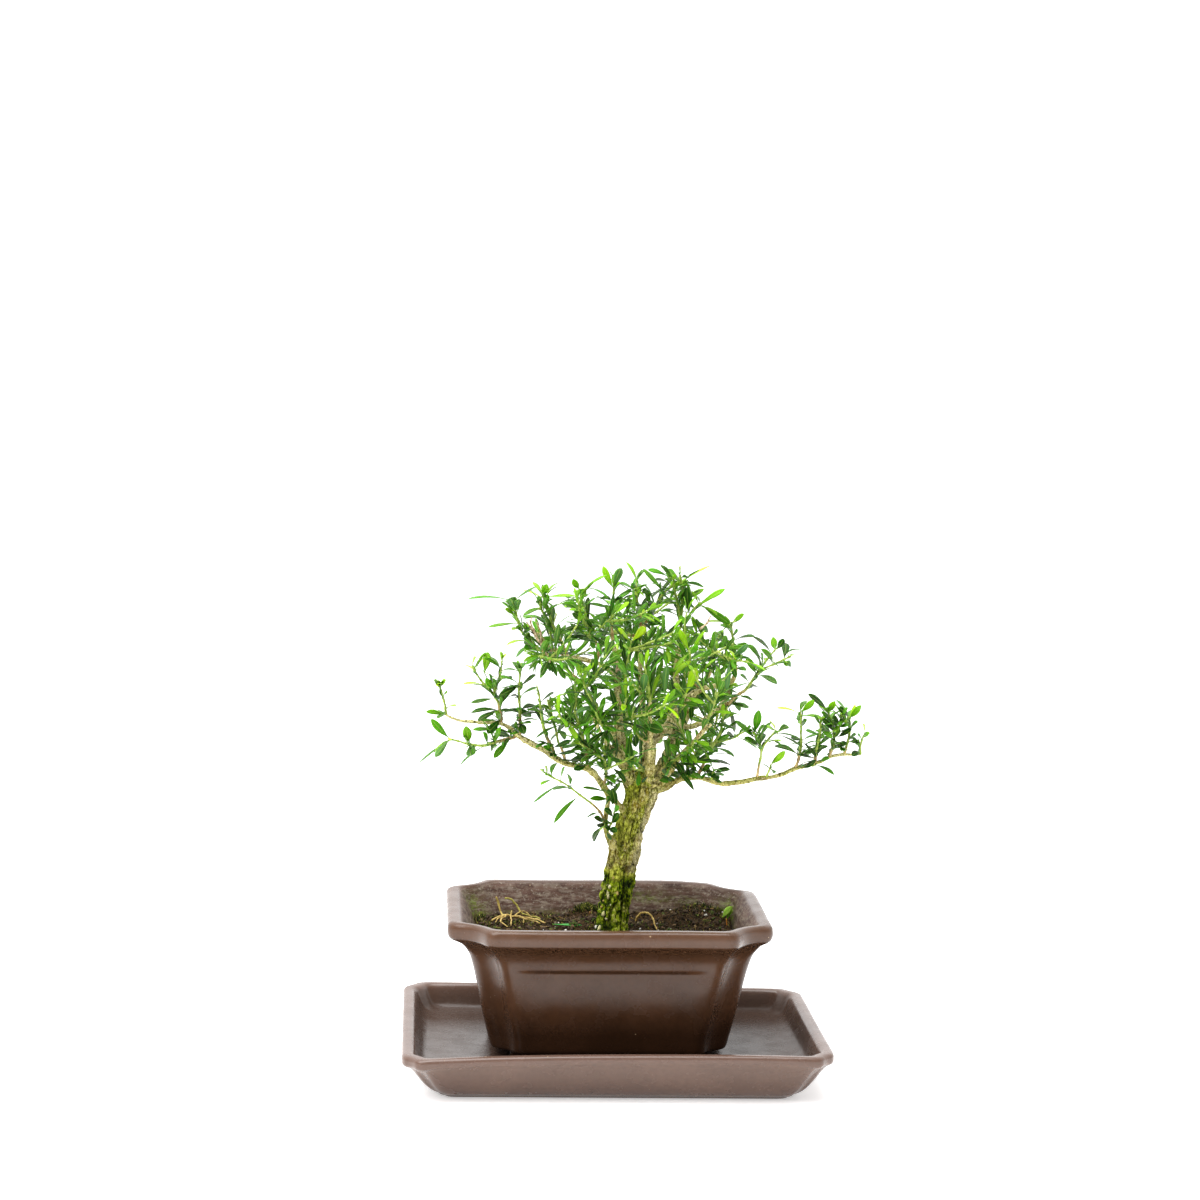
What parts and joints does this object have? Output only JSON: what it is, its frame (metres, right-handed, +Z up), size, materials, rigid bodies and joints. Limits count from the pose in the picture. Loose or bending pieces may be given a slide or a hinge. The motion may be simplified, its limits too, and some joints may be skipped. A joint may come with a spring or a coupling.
{
  "type": "boxwood bonsai in glazed pot with drip tray",
  "caption": "Small boxwood bonsai with an upright forked stem and a broad leafy crown, in a cut-corner glazed pot on a matching drip tray.",
  "frame": {"origin": "centre of the bounding box in plan, at the underside of the tray's foot ring", "axes": "+Z up along the tree; +X to the right along the long side of the pot, seen from the front; -Y towards the front"},
  "size_m": [0.2212, 0.158, 0.2465],
  "materials": {
    "tray_glaze": "satin glaze, grey brown",
    "pot_glaze": "satin glaze, dark brown",
    "netting": "matt black net",
    "bark": "rough, corky, tan and olive",
    "soil": "damp dark potting mix of peat and bark, matt",
    "foliage": "smooth waxy leaves, satin",
    "fallen_leaf": "waxy green leaf",
    "seedling": "pale green leaf on an orange stalk",
    "dry_root": "dry straw-coloured roots"
  },
  "bodies": {
    "root": {"tray": "tray_glaze", "pot": "pot_glaze", "drain_mesh_left": "netting", "drain_mesh_right": "netting", "trunk": "bark", "soil": "soil", "shoot_01": "foliage", "shoot_02": "foliage", "shoot_03": "foliage", "shoot_04": "foliage", "shoot_05": "foliage", "shoot_06": "foliage", "shoot_07": "foliage", "shoot_08": "foliage", "shoot_09": "foliage", "shoot_10": "foliage", "shoot_11": "foliage", "shoot_12": "foliage", "shoot_13": "foliage", "shoot_14": "foliage", "shoot_15": "foliage", "shoot_16": "foliage", "shoot_17": "foliage", "shoot_18": "foliage", "shoot_19": "foliage", "shoot_20": "foliage", "shoot_21": "foliage", "shoot_22": "foliage", "shoot_23": "foliage", "shoot_24": "foliage", "shoot_25": "foliage", "shoot_26": "foliage", "shoot_27": "foliage", "shoot_28": "foliage", "shoot_29": "foliage", "shoot_30": "foliage", "shoot_31": "foliage", "shoot_32": "foliage", "shoot_33": "foliage", "shoot_34": "foliage", "shoot_35": "foliage", "shoot_36": "foliage", "shoot_37": "foliage", "shoot_38": "foliage", "shoot_39": "foliage", "shoot_40": "foliage", "shoot_41": "foliage", "shoot_42": "foliage", "shoot_43": "foliage", "shoot_44": "foliage", "shoot_45": "foliage", "shoot_46": "foliage", "shoot_47": "foliage", "shoot_48": "foliage", "fallen_leaf": "fallen_leaf", "seedling": "seedling", "dry_rootlet_1": "dry_root", "dry_rootlet_2": "dry_root", "dry_rootlet_3": "dry_root", "arching_rootlet": "dry_root"}
  },
  "joints": []
}
